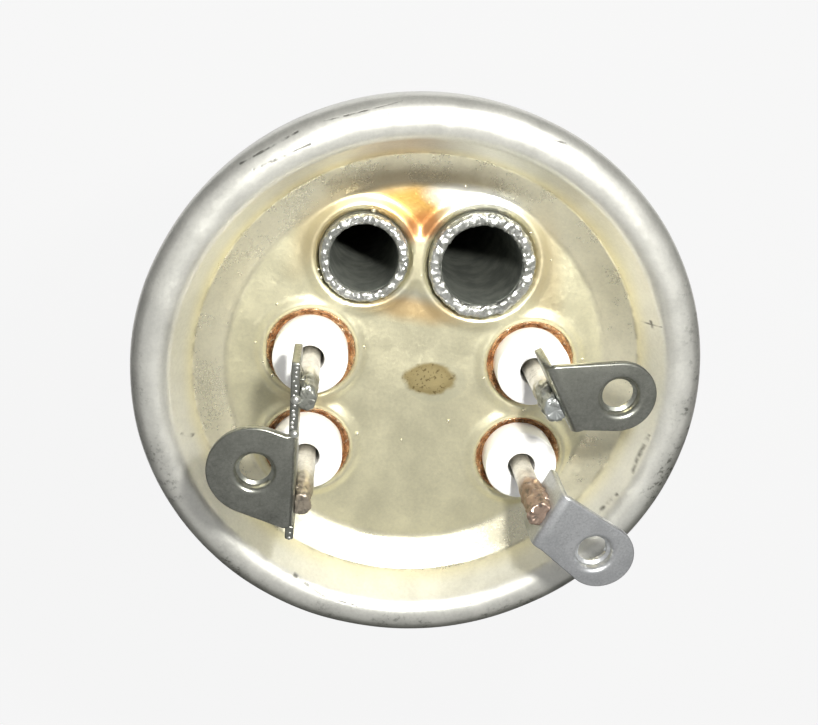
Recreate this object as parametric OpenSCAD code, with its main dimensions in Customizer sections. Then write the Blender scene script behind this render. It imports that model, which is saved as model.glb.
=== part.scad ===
// Storage water heater element on a pressed round flange.
// Frame: origin on the flange axis in the plane of the rim's lower edge.
// +Z points out of the tank, to the terminals. +X runs from the small well's side to the large well's side.

/* [Flange] */
// Outside diameter of the rolled rim
flange_d = 64; // [62:0.5:68]
// Sheet thickness of the pressed flange
sheet_t = 1.0; // [0.8:0.1:1.2]
// Height of the rim's straight outer land
land_h = 2.5; // [1.5:0.1:4]
// Outside radius of the rolled bead on the rim
bead_r = 2.4; // [1.8:0.1:2.8]
// Radius of the crease where the bead meets the conical step
crease_r = 25.7; // [24.5:0.1:26.2]
// Depth of that crease below the rim's lower edge
crease_depth = 0.3; // [0:0.1:1]
// Radius of the flat floor
floor_r = 22.2; // [21.8:0.1:23]
// Depth of the floor's top face below the rim's lower edge
floor_depth = 2.4; // [2:0.1:4]

/* [Heater loops] */
// Outside diameter of the heater sheath
sheath_d = 8; // [7.4:0.1:8.4]
// Wall thickness of the heater sheath
sheath_wall = 0.7; // [0.5:0.05:1]
// Distance between the two legs of a loop
leg_gap = 25.8; // [24.5:0.1:26.4]
// Sideways shift of the loops from the flange axis
leg_shift = 0.4; // [-0.4:0.1:0.8]
// Height above the flange centre of the upper loop's holes
upper_row_y = 1.9; // [1.5:0.1:2.3]
// Distance between the upper and the lower row of holes
row_pitch = 12.2; // [12:0.1:13]
// Length of the long loop below the rim
long_loop_l = 245; // [190:1:300]
// Length of the short loop below the rim
short_loop_l = 195; // [150:1:185]
// Outside diameter of the wound resistance coil
coil_d = 3.2; // [2.6:0.1:3.6]
// Height of the coil's wire
coil_wire = 0.5; // [0.3:0.05:0.6]
// Length of each cold pin below the sheath's mouth
pin_reach = 58; // [40:1:80]

/* [Wells] */
// Outside diameter of the small well tube
small_well_d = 10; // [9.4:0.1:10.4]
// Wall thickness of the small well tube
small_well_wall = 1.15; // [0.8:0.05:1.3]
// Length of the small well below the rim
small_well_l = 150; // [100:1:170]
// Outside diameter of the large well tube
large_well_d = 12; // [11.4:0.1:12.4]
// Wall thickness of the large well tube
large_well_wall = 1.4; // [1:0.05:1.6]
// Length of the large well below the rim
large_well_l = 135; // [90:1:160]
// Height above the flange centre of both wells
well_y = 13.5; // [13.2:0.1:13.9]
// Distance of the small well to the left of the flange axis
small_well_x = 7.1; // [6.8:0.1:7.4]
// Distance of the large well to the right of the flange axis
large_well_x = 6.2; // [6:0.1:6.6]
// Height of a well's mouth above the floor
well_rise = 0.9; // [0.6:0.1:1.2]

/* [Element ends] */
// Diameter of a ceramic bush's head
bush_d = 8.6; // [8.2:0.1:8.8]
// Height of a ceramic bush above the floor
bush_rise = 3.0; // [2.4:0.1:3.6]
// Length of a ceramic bush's shank inside the sheath
bush_shank = 3.2; // [2:0.1:5]
// Bore of a ceramic bush
bush_bore = 3.1; // [2.9:0.1:3.4]
// Diameter of a cold pin
pin_d = 2.4; // [2:0.1:2.7]
// Height of a pin's tip above the rim's lower edge
pin_top = 12; // [11.6:0.1:12.2]

/* [Terminals] */
// Sheet thickness of the terminals
tab_t = 0.9; // [0.8:0.05:1]
// Height of the flags' top face above the rim's lower edge
flag_top = 13; // [13:0.1:13.8]
// Height of a terminal's leg
leg_h = 6.5; // [5.5:0.1:7]
// Distance from a pin's axis to the flat its terminal is welded to
weld_flat = 0.65; // [0.5:0.05:0.8]
// Core diameter of the terminal screw thread
screw_core_d = 3.3; // [3.1:0.05:3.5]
// Height of the drawn collar under a flag
collar_h = 1.4; // [1:0.1:2]
// Radius of the right flags' round end
tab_end_r = 3.8; // [3.6:0.1:4]
// Radius of the common flag's round end
bridge_end_r = 5.0; // [4.8:0.1:5.2]

/* [Anode boss] */
// Outside diameter of the anode boss
boss_d = 9; // [8:0.1:10]
// Height of the anode boss under the floor
boss_h = 7; // [5:0.1:9]
// Core diameter of the anode thread
boss_core_d = 3.3; // [3.1:0.05:4.2]

/* [Hidden] */
$fn = 96;
// Named clearances
fit = 0.02;
solder_gap = 0.05;
// Heights
floor_z = -floor_depth;
under_z = floor_z - sheet_t;
mouth_z = floor_z - 0.5;
well_top = floor_z + well_rise;
neck_z = under_z - 1.2;
seal_top = mouth_z - bush_shank - 0.3;
seal_l = 5;
fill_top = seal_top - seal_l - 0.1;
pin_low = mouth_z - pin_reach;
// Radii
rim_r = flange_d / 2;
sheath_r = sheath_d / 2;
fill_r = sheath_r - sheath_wall - fit;
hole_r = sheath_r + solder_gap;
funnel_r = sheath_r + 1.15;
lip_r = 0.55;
pin_r = pin_d / 2;
coil_r = coil_d / 2;
bend_r = leg_gap / 2;
left_x = leg_shift - bend_r;
right_x = leg_shift + bend_r;
lower_row_y = upper_row_y - row_pitch;
// Points of the flange's section: crease, floor corner, bead centre and the tangent point on the bead
pa = [crease_r, -crease_depth];
pf = [floor_r, floor_z];
pc = [rim_r - bead_r, land_h];
ca = pa - pc;
tan_a = atan2(ca[1], ca[0]) + 360 - acos(bead_r / norm(ca));
pt = pc + bead_r * [cos(tan_a), sin(tan_a)];
// Unit normals to the underside: of the bead's inner wall, of the step and of the floor
n1 = [-cos(tan_a), -sin(tan_a)];
dv = (pa - pf) / norm(pa - pf);
n2 = [dv[1], -dv[0]];
n3 = [0, -1];
pa_in = pa + sheet_t * (n1 + n2) / (1 + n1 * n2);
pf_in = pf + sheet_t * (n2 + n3) / (1 + n2 * n3);
pt_in = pt + sheet_t * n1;

function dir(a) = [cos(a), sin(a)];
// Point where the tangent from p touches the circle c, r; side is 1 or -1
function touch(p, c, r, side) = c + r * dir(atan2(p[1] - c[1], p[0] - c[0]) + side * acos(r / norm(p - c)));

module at_leg(x, y) {
  translate([x, y, 0]) children();
}

// Half section of the pressed sheet
module sheet_section() {
  intersection() {
    difference() {
      translate(pc) circle(r = bead_r);
      translate(pc) circle(r = bead_r - sheet_t);
    }
    polygon([pc, pc + [6, 0], pc + [6, 6], pc + [-6, 6], pc + 7 * dir(tan_a)]);
  }
  translate([rim_r - sheet_t, 0]) square([sheet_t, land_h]);
  polygon([pt, pa, pa_in, pt_in]);
  polygon([pa, pf, pf_in, pa_in]);
  polygon([[0, floor_z], pf, pf_in, [0, under_z]]);
}

// Raised lip and lower neck that the press forms round a hole
module hole_collar(in_r, lip_at, neck_w) {
  rotate_extrude() translate([lip_at, floor_z]) circle(r = lip_r);
  rotate_extrude() translate([in_r, neck_z]) square([neck_w, under_z - neck_z + 0.2]);
}

module leg_cut() {
  rotate_extrude() polygon([[0, neck_z - 1], [hole_r, neck_z - 1], [hole_r, under_z - 0.5], [funnel_r, floor_z + 0.2], [funnel_r, 2], [0, 2]]);
}

module well_cut(r) {
  rotate_extrude() polygon([[0, neck_z - 1], [r + solder_gap, neck_z - 1], [r + solder_gap, floor_z - 0.5], [r + 0.35, floor_z - 0.1], [r + 0.35, 2], [0, 2]]);
}

module flange_plate() {
  color([0.80, 0.79, 0.74]) difference() {
    union() {
      rotate_extrude() sheet_section();
      for (x = [left_x, right_x], y = [upper_row_y, lower_row_y]) {
        at_leg(x, y) hole_collar(hole_r, funnel_r + 0.4, 1.0);
      }
      at_leg(-small_well_x, well_y) hole_collar(small_well_d / 2 + solder_gap, small_well_d / 2 + 0.4, 0.8);
      at_leg(large_well_x, well_y) hole_collar(large_well_d / 2 + solder_gap, large_well_d / 2 + 0.4, 0.8);
    }
    for (x = [left_x, right_x], y = [upper_row_y, lower_row_y]) {
      at_leg(x, y) leg_cut();
    }
    at_leg(-small_well_x, well_y) well_cut(small_well_d / 2);
    at_leg(large_well_x, well_y) well_cut(large_well_d / 2);
  }
}

// Closed-end tube: bore and wall end in two half balls
module well_tube(d, wall, l) {
  rotate_extrude() difference() {
    union() {
      translate([0, -l + d / 2]) square([d / 2, well_top + l - d / 2]);
      intersection() {
        translate([0, -l + d / 2]) circle(r = d / 2);
        translate([0, -l]) square([d, d]);
      }
    }
    translate([-1, -l + d / 2]) square([d / 2 - wall + 1, l + 5]);
    translate([0, -l + d / 2]) circle(r = d / 2 - wall);
    translate([-d, -l - 1]) square([d, l + 10]);
  }
}

module small_well() {
  color([0.66, 0.67, 0.67]) at_leg(-small_well_x, well_y) well_tube(small_well_d, small_well_wall, small_well_l);
}

module large_well() {
  color([0.66, 0.67, 0.67]) at_leg(large_well_x, well_y) well_tube(large_well_d, large_well_wall, large_well_l);
}

// Round bead melted onto a well's mouth, flat where it sits
module weld_ring(d, wall) {
  rotate_extrude() intersection() {
    translate([d / 2 - wall / 2, well_top]) circle(r = wall / 2 - 0.02);
    translate([0, well_top]) square([d, wall]);
  }
}

module small_well_weld() {
  color([0.72, 0.72, 0.70]) at_leg(-small_well_x, well_y) weld_ring(small_well_d, small_well_wall);
}

module large_well_weld() {
  color([0.72, 0.72, 0.70]) at_leg(large_well_x, well_y) weld_ring(large_well_d, large_well_wall);
}

// U of round section, from top down to -l, with its round part about Y
module loop_solid(r, top, l) {
  low = -l + bend_r + sheath_r;
  for (x = [left_x, right_x]) {
    translate([x, 0, low]) cylinder(r = r, h = top - low);
  }
  translate([leg_shift, 0, low]) rotate([90, 0, 0]) rotate([0, 0, 180]) rotate_extrude(angle = 180) translate([bend_r, 0]) circle(r = r);
}

module sheath(l) {
  difference() {
    loop_solid(sheath_r, mouth_z, l);
    loop_solid(sheath_r - sheath_wall, mouth_z + 1, l);
  }
}

module coil(l) {
  difference() {
    loop_solid(coil_r, pin_low - fit, l);
    loop_solid(coil_r - coil_wire, pin_low + 1, l);
  }
}

module filling(l) {
  difference() {
    loop_solid(fill_r, fill_top, l);
    difference() {
      loop_solid(coil_r + fit, pin_low, l);
      loop_solid(coil_r - coil_wire - fit, pin_low + 1, l);
    }
    for (x = [left_x, right_x]) {
      translate([x, 0, pin_low - fit]) cylinder(r = pin_r + fit, h = pin_reach + 20);
    }
  }
}

module long_sheath() {
  color([0.55, 0.54, 0.52]) translate([0, upper_row_y, 0]) sheath(long_loop_l);
}

module short_sheath() {
  color([0.55, 0.54, 0.52]) translate([0, lower_row_y, 0]) sheath(short_loop_l);
}

module long_coil() {
  color([0.45, 0.42, 0.40]) translate([0, upper_row_y, 0]) coil(long_loop_l);
}

module short_coil() {
  color([0.45, 0.42, 0.40]) translate([0, lower_row_y, 0]) coil(short_loop_l);
}

module long_filling() {
  color([0.86, 0.85, 0.82]) translate([0, upper_row_y, 0]) filling(long_loop_l);
}

module short_filling() {
  color([0.86, 0.85, 0.82]) translate([0, lower_row_y, 0]) filling(short_loop_l);
}

// Braze drawn into the funnel between sheath and flange
module braze_ring(x, y) {
  color([0.62, 0.36, 0.22]) at_leg(x, y) rotate_extrude() polygon([
    [sheath_r + 0.01, neck_z + 0.1],
    [hole_r - 0.01, neck_z + 0.1],
    [hole_r - 0.01, under_z - 0.5],
    [funnel_r - 0.02, floor_z + 0.18],
    [funnel_r - 0.12, floor_z + 0.12],
    [sheath_r + 0.5, mouth_z - 0.05],
    [sheath_r + 0.01, mouth_z - 0.25]
  ]);
}

module braze_upper_left() { braze_ring(left_x, upper_row_y); }
module braze_upper_right() { braze_ring(right_x, upper_row_y); }
module braze_lower_left() { braze_ring(left_x, lower_row_y); }
module braze_lower_right() { braze_ring(right_x, lower_row_y); }

// Stepped ceramic bush, its head on the sheath's mouth
module bush(x, y) {
  color([0.95, 0.94, 0.92]) at_leg(x, y) rotate_extrude() polygon([
    [bush_bore / 2, mouth_z - bush_shank],
    [fill_r - 0.1, mouth_z - bush_shank],
    [fill_r - 0.1, mouth_z],
    [bush_d / 2, mouth_z],
    [bush_d / 2, floor_z + bush_rise - 0.25],
    [bush_d / 2 - 0.25, floor_z + bush_rise],
    [bush_bore / 2 + 0.15, floor_z + bush_rise],
    [bush_bore / 2, floor_z + bush_rise - 0.15]
  ]);
}

module bush_upper_left() { bush(left_x, upper_row_y); }
module bush_upper_right() { bush(right_x, upper_row_y); }
module bush_lower_left() { bush(left_x, lower_row_y); }
module bush_lower_right() { bush(right_x, lower_row_y); }

module seal(x, y) {
  color([0.55, 0.30, 0.22]) at_leg(x, y) translate([0, 0, seal_top - seal_l]) difference() {
    cylinder(r = fill_r, h = seal_l);
    translate([0, 0, -1]) cylinder(r = pin_r + fit, h = seal_l + 2);
  }
}

module seal_upper_left() { seal(left_x, upper_row_y); }
module seal_upper_right() { seal(right_x, upper_row_y); }
module seal_lower_left() { seal(left_x, lower_row_y); }
module seal_lower_right() { seal(right_x, lower_row_y); }

// Cold pin with a flat that faces along angle a where the terminal is welded on
module pin(x, y, a) {
  color([0.60, 0.58, 0.55]) at_leg(x, y) rotate([0, 0, a]) difference() {
    translate([0, 0, pin_low]) cylinder(r = pin_r, h = pin_top - pin_low);
    translate([weld_flat, -3, flag_top - leg_h - 0.4]) cube([3, 6, leg_h + 2]);
  }
}

// Angles of the three terminals: outward normal of each leg
bridge_a = 180;
tab_a = [29.4, -22.5];
module pin_upper_left() { pin(left_x, upper_row_y, bridge_a); }
module pin_lower_left() { pin(left_x, lower_row_y, bridge_a); }
module pin_upper_right() { pin(right_x, upper_row_y, tab_a[0]); }
module pin_lower_right() { pin(right_x, lower_row_y, tab_a[1]); }

// Leg and flag as one bent sheet, in a frame with the leg's inner face on x = weld_flat
bend_out = 1.15;
leg_face = weld_flat + 0.01;
module bent_sheet(y0, y1) {
  xc = leg_face + bend_out;
  zc = flag_top - bend_out;
  translate([0, y1, 0]) rotate([90, 0, 0]) linear_extrude(height = y1 - y0) {
    translate([leg_face, flag_top - leg_h]) square([tab_t, leg_h - bend_out]);
    translate([xc, flag_top - tab_t]) square([30, tab_t]);
    intersection() {
      difference() {
        translate([xc, zc]) circle(r = bend_out);
        translate([xc, zc]) circle(r = bend_out - tab_t);
      }
      translate([leg_face, zc]) square([bend_out, bend_out]);
    }
  }
}

// Screw hole through a flag with its rounded entry and drawn collar
module screw_collar(c) {
  translate([c[0], c[1], flag_top - tab_t - collar_h]) cylinder(d = screw_core_d + 1.7, h = collar_h + 0.1);
}

module screw_cut(c) {
  translate([c[0], c[1], 0]) {
    translate([0, 0, flag_top - 6]) cylinder(d = screw_core_d, h = 8);
    rotate_extrude() difference() {
      translate([0, flag_top - 0.7]) square([screw_core_d / 2 + 0.7, 1]);
      translate([screw_core_d / 2 + 0.7, flag_top - 0.7]) circle(r = 0.7);
    }
  }
}

// Flag outline in plan: bend line from p1 to p2, round end about e
module flag_plan(p1, p2, e, r) {
  translate(e) circle(r = r);
  polygon([p1, p2, touch(p2, e, r, 1), e, touch(p1, e, r, -1)]);
}

// Terminal tab on the pin at x, y, in the pin's turned frame: leg from y0 to y1, screw at c, round end about e
module tab(x, y, a, y0, y1, c, e, r) {
  color([0.56, 0.57, 0.56]) at_leg(x, y) rotate([0, 0, a]) difference() {
    union() {
      intersection() {
        bent_sheet(-20, 20);
        union() {
          translate([0, y0, 0]) cube([leg_face + bend_out, y1 - y0, 30]);
          translate([0, 0, flag_top - 2]) linear_extrude(height = 4) flag_plan([leg_face + bend_out - 0.01, y1], [leg_face + bend_out - 0.01, y0], e, r);
        }
      }
      screw_collar(c);
    }
    screw_cut(c);
  }
}

// Screw centres, end centres and leg ends of the two right tabs, along and across each leg
tab_c = [[6.6, -1.1], [7.5, -1.3]];
tab_e = [[6.6, -1.1], [8.3, -1.4]];
tab_y = [[-2.9, 5.0], [-3.4, 3.4]];
module tab_upper_right() {
  tab(right_x, upper_row_y, tab_a[0], tab_y[0][0], tab_y[0][1], tab_c[0], tab_e[0], tab_end_r);
}
module tab_lower_right() {
  tab(right_x, lower_row_y, tab_a[1], tab_y[1][0], tab_y[1][1], tab_c[1], tab_e[1], tab_end_r);
}

// Common bridge: one strip past both left pins and a wide flag between them
bridge_over = 4.0;
bridge_c = [4.9, 4.1];
bridge_flag = [-2.4, 8.3];
strip_drop = 0.5;
module bridge_terminal() {
  color([0.56, 0.57, 0.56]) at_leg(left_x, lower_row_y) mirror([1, 0, 0]) difference() {
    union() {
      translate([leg_face, -bridge_over, flag_top - leg_h]) cube([tab_t, row_pitch + 2 * bridge_over, leg_h - bend_out]);
      difference() {
        translate([leg_face, -bridge_over, flag_top - leg_h]) cube([tab_t, row_pitch + 2 * bridge_over, leg_h - strip_drop]);
        translate([leg_face - 1, bridge_flag[0], flag_top - bend_out]) cube([3, bridge_flag[1] - bridge_flag[0], 3]);
      }
      intersection() {
        bent_sheet(-20, 20);
        union() {
          translate([0, bridge_flag[0], flag_top - bend_out - 1]) cube([leg_face + bend_out, bridge_flag[1] - bridge_flag[0], 9]);
          translate([0, 0, flag_top - 2]) linear_extrude(height = 4) flag_plan([leg_face + bend_out - 0.01, bridge_flag[1]], [leg_face + bend_out - 0.01, bridge_flag[0]], bridge_c, bridge_end_r);
        }
      }
      screw_collar(bridge_c);
    }
    screw_cut(bridge_c);
  }
}

// Threaded boss for the anode, welded under the floor
module anode_boss() {
  color([0.62, 0.62, 0.60]) translate([1.5, -0.8, under_z - boss_h]) difference() {
    cylinder(d = boss_d, h = boss_h);
    translate([0, 0, -1]) cylinder(d = boss_core_d, h = boss_h);
  }
}

flange_plate();
small_well();
large_well();
small_well_weld();
large_well_weld();
long_sheath();
short_sheath();
long_coil();
short_coil();
long_filling();
short_filling();
braze_upper_left();
braze_upper_right();
braze_lower_left();
braze_lower_right();
bush_upper_left();
bush_upper_right();
bush_lower_left();
bush_lower_right();
seal_upper_left();
seal_upper_right();
seal_lower_left();
seal_lower_right();
pin_upper_left();
pin_upper_right();
pin_lower_left();
pin_lower_right();
bridge_terminal();
tab_upper_right();
tab_lower_right();
anode_boss();
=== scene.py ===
# %% [markdown]
# # A water heater element on its pressed round flange
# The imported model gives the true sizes, in metres, with the flange axis on Z and the terminals up.
# The script reads its sizes from that frame, so nothing here has to be fitted by eye.
# The frame's own parts stay where they are; a part that needs softer edges or a rougher skin gets a new
# piece.

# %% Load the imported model
import math
import random

import bmesh
import bpy
from mathutils import Matrix, Vector, noise


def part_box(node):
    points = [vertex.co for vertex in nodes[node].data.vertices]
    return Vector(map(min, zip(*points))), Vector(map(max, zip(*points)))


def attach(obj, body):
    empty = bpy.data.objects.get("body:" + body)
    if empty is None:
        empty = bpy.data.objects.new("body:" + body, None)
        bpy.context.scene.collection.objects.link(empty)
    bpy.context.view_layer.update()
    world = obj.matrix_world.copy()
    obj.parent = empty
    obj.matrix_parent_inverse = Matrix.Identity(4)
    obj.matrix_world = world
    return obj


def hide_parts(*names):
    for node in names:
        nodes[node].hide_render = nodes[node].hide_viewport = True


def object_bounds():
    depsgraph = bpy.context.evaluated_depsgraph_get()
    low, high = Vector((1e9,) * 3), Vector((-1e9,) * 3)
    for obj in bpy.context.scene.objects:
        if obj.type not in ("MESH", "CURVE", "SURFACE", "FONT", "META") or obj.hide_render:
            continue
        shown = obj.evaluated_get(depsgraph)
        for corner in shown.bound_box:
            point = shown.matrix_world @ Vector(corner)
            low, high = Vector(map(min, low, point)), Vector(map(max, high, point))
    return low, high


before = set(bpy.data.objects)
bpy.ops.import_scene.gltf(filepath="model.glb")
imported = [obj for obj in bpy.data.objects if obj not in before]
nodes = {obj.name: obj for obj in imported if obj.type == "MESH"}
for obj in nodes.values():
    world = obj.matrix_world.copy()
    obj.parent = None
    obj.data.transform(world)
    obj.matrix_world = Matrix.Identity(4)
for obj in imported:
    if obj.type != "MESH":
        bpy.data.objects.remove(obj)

cad_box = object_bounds()
MM = 0.001
print("frame parts:", len(nodes))

# %% [markdown]
# ## The camera
# The photograph was taken from about 11 cm away, so the perspective is strong and the loops hide behind
# the flange.
# The camera stands where the rim and the pins line up with the picture.
# Its three directions are written out because the picture is a little turned round the flange axis.

# %% Camera
CAMERA_AT = Vector((-10.47, 38.30, 98.45)) * MM
LOOKS_RIGHT = Vector((0.9946728, 0.0812995, 0.0633746))
LOOKS_UP = Vector((-0.0541377, 0.9351855, -0.3499959))
LOOKS_BACK = LOOKS_RIGHT.cross(LOOKS_UP)

camera_data = bpy.data.cameras.new("photo_camera")
camera_data.sensor_fit = "HORIZONTAL"
camera_data.sensor_width = 36
camera_data.lens = 40.45
camera_data.clip_start = 0.005
camera = bpy.data.objects.new("photo_camera", camera_data)
bpy.context.scene.collection.objects.link(camera)
turn = Matrix((LOOKS_RIGHT, LOOKS_UP, LOOKS_BACK)).transposed()
camera.matrix_world = Matrix.Translation(CAMERA_AT) @ turn.to_4x4()
bpy.context.scene.camera = camera
print("camera lens:", camera_data.lens, "mm")

# %% [markdown]
# ## Small helpers for shader nodes
# A material is a graph, and building one by hand means many similar lines.
# These helpers make a node, fill its sockets and hand back the output that the next node needs.


# %% Node helpers
def fill(tree, made, wires):
    """Links each socket that is given, and writes each plain value into its own socket."""
    for name, value in wires.items():
        if isinstance(value, bpy.types.NodeSocket):
            tree.links.new(value, made.inputs[name])
        else:
            made.inputs[name].default_value = value


def node(tree, kind, wires=None, **settings):
    made = tree.nodes.new(kind)
    for name, value in settings.items():
        setattr(made, name, value)
    fill(tree, made, wires or {})
    return made


def calc(tree, operation, *values, clamp=False):
    return node(tree, "ShaderNodeMath", dict(enumerate(values)), operation=operation,
                use_clamp=clamp).outputs[0]


def vector_calc(tree, operation, *values, out=0):
    return node(tree, "ShaderNodeVectorMath", dict(enumerate(values)), operation=operation).outputs[out]


def ramp(tree, value, start, end, low=0.0, high=1.0, smooth=True):
    """Goes from low at start to high at end, with soft shoulders if smooth."""
    kind = "SMOOTHSTEP" if smooth else "LINEAR"
    wires = {0: value, 1: start, 2: end, 3: low, 4: high}
    return node(tree, "ShaderNodeMapRange", wires, interpolation_type=kind).outputs[0]


def paint(tree, mask, under, over, how="MIX"):
    wires = {0: mask, 6: under, 7: over}
    return node(tree, "ShaderNodeMix", wires, data_type="RGBA", blend_type=how).outputs[2]


def stain(tree, mask, strength, under, over):
    """Lays a colour over another where the mask is, at most as strong as strength."""
    return paint(tree, calc(tree, "MULTIPLY", mask, strength), under, over)


def grain(tree, place, scale, detail=3.0, roughness=0.55):
    wires = {"Vector": place, "Scale": scale, "Detail": detail, "Roughness": roughness}
    return node(tree, "ShaderNodeTexNoise", wires).outputs[0]


def rgb(r, g, b):
    return (r, g, b, 1.0)


# %% [markdown]
# ## Effects that several metals share
# Heat marks, dirt, scratches and the fine grain of rolled sheet come back on many parts.
# Each is a node group with named inputs, so one recipe serves every metal with its own values.
# All of them read the place on the object in metres, so a mark stays where it is put.


# %% Group helper
def new_group(name, inputs, outputs):
    group = bpy.data.node_groups.new(name, "ShaderNodeTree")
    for label, kind, value in inputs:
        socket = group.interface.new_socket(label, in_out="INPUT", socket_type="NodeSocket" + kind)
        socket.default_value = value
    for label, kind in outputs:
        group.interface.new_socket(label, in_out="OUTPUT", socket_type="NodeSocket" + kind)
    return group, group.nodes.new("NodeGroupInput").outputs, group.nodes.new("NodeGroupOutput").inputs


def place_group(tree, group, wires, output):
    made = tree.nodes.new("ShaderNodeGroup")
    made.node_tree = group
    fill(tree, made, wires)
    return made.outputs[output]


# %% Ragged patch: a stain, heat mark, painted shade, painted shadow or painted reflection with an uneven edge
patch_group, takes, gives = new_group(
    "ragged_patch",
    [("Place", "Vector", (0, 0, 0)), ("Centre", "Vector", (0, 0, 0)), ("Reach", "Vector", (1, 1, 1)),
     ("Turn", "Float", 0.0),
     ("Soft", "Float", 0.4), ("Ragged", "Float", 0.3), ("Grain", "Float", 400.0)],
    [("Mask", "Float")],
)
tree = patch_group
away = vector_calc(tree, "SUBTRACT", takes["Place"], takes["Centre"])
turned_away = node(tree, "ShaderNodeVectorRotate", {"Vector": away, "Angle": takes["Turn"]},
                   rotation_type="Z_AXIS").outputs[0]
flat = vector_calc(tree, "MULTIPLY", turned_away, (1, 1, 0))
reached = vector_calc(tree, "LENGTH", vector_calc(tree, "DIVIDE", flat, takes["Reach"]), out=1)
uneven = calc(tree, "SUBTRACT", grain(tree, takes["Place"], takes["Grain"]), 0.5)
edge = calc(tree, "MULTIPLY_ADD", uneven, takes["Ragged"], reached)
inner = calc(tree, "SUBTRACT", 1.0, takes["Soft"])
outer = calc(tree, "ADD", 1.0, takes["Soft"])
tree.links.new(ramp(tree, edge, outer, inner), gives["Mask"])

# %% Scratch: a thin line between two points
scratch_group, takes, gives = new_group(
    "scratch_line",
    [("Place", "Vector", (0, 0, 0)), ("From", "Vector", (0, 0, 0)), ("To", "Vector", (0, 0, 0)),
     ("Width", "Float", 0.0001),
     ("Wobble", "Float", 0.0003)],
    [("Mask", "Float")],
)
tree = scratch_group
flat = vector_calc(tree, "MULTIPLY", takes["Place"], (1, 1, 0))
along = vector_calc(tree, "SUBTRACT", takes["To"], takes["From"])
offset = vector_calc(tree, "SUBTRACT", flat, takes["From"])
share = calc(
    tree, "DIVIDE", vector_calc(tree, "DOT_PRODUCT", offset, along, out=1),
    vector_calc(tree, "DOT_PRODUCT", along, along, out=1), clamp=True,
)
nearest = node(tree, "ShaderNodeVectorMath", {0: along, "Scale": share}, operation="SCALE").outputs[0]
gap = vector_calc(tree, "LENGTH", vector_calc(tree, "SUBTRACT", offset, nearest), out=1)
sway = calc(tree, "SUBTRACT", grain(tree, flat, 500.0, 2.0), 0.5)
gap = calc(tree, "ABSOLUTE", calc(tree, "MULTIPLY_ADD", sway, takes["Wobble"], gap))
fade = ramp(tree, grain(tree, flat, 900.0, 2.0), 0.35, 0.6)
line = ramp(tree, gap, takes["Width"], 0.0)
tree.links.new(calc(tree, "MULTIPLY", line, fade), gives["Mask"])

# %% Sheet grain: the mottled, finely pitted skin of pressed sheet
sheet_group, takes, gives = new_group(
    "sheet_grain",
    [("Place", "Vector", (0, 0, 0)), ("Size", "Float", 1.0)],
    [("Shade", "Float"), ("Height", "Float")],
)
tree = sheet_group
cloud = grain(tree, takes["Place"], calc(tree, "MULTIPLY", takes["Size"], 260.0), 4.0)
fine = grain(tree, takes["Place"], calc(tree, "MULTIPLY", takes["Size"], 2600.0), 3.0, 0.7)
pimple = grain(tree, takes["Place"], calc(tree, "MULTIPLY", takes["Size"], 4200.0), 1.0)
spark = ramp(tree, pimple, 0.66, 0.74)
mottle = calc(tree, "MULTIPLY_ADD", fine, 0.45, calc(tree, "MULTIPLY", cloud, 0.55))
tree.links.new(mottle, gives["Shade"])
tree.links.new(calc(tree, "MULTIPLY_ADD", spark, 0.6, fine), gives["Height"])

# %% Grime: dark specks that gather in clouds
grime_group, takes, gives = new_group(
    "grime_specks",
    [("Place", "Vector", (0, 0, 0)), ("Amount", "Float", 0.5), ("Cloud", "Float", 300.0),
     ("Speck", "Float", 2200.0)],
    [("Mask", "Float")],
)
tree = grime_group
cloud = ramp(tree, grain(tree, takes["Place"], takes["Cloud"], 3.0), 0.42, 0.62)
speck = ramp(tree, grain(tree, takes["Place"], takes["Speck"], 4.0, 0.65), 0.5, 0.66)
mixed = calc(tree, "MULTIPLY", cloud, calc(tree, "MULTIPLY_ADD", speck, 0.75, 0.25))
tree.links.new(calc(tree, "MULTIPLY", mixed, takes["Amount"], clamp=True), gives["Mask"])
print("shared effects:", [g.name for g in bpy.data.node_groups])


# %% Start a material and its surface shader
def new_material(name):
    material = bpy.data.materials.new(name)
    material.use_nodes = True
    tree = material.node_tree
    shader = tree.nodes["Principled BSDF"]
    place = node(tree, "ShaderNodeTexCoord").outputs["Object"]
    return material, tree, shader, place


def finish_shader(tree, shader, color, rough, metal, height=None, depth=0.00002):
    fill(tree, shader, {"Base Color": color, "Roughness": rough, "Metallic": metal})
    if height is not None:
        bump = node(tree, "ShaderNodeBump", {"Height": height, "Strength": 1.0, "Distance": depth})
        tree.links.new(bump.outputs[0], shader.inputs["Normal"])


def wear_marks(tree, place, color, marks):
    """Paints each (from, to, width in mm) as a dark scratch over the colour."""
    total = None
    for start, end, width in marks:
        wires = {"Place": place, "From": Vector((*start, 0)) * MM, "To": Vector((*end, 0)) * MM,
                 "Width": width * MM}
        mask = place_group(tree, scratch_group, wires, "Mask")
        total = mask if total is None else calc(tree, "MAXIMUM", total, mask)
    return stain(tree, total, 0.8, color, rgb(0.09, 0.085, 0.075)), total
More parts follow.
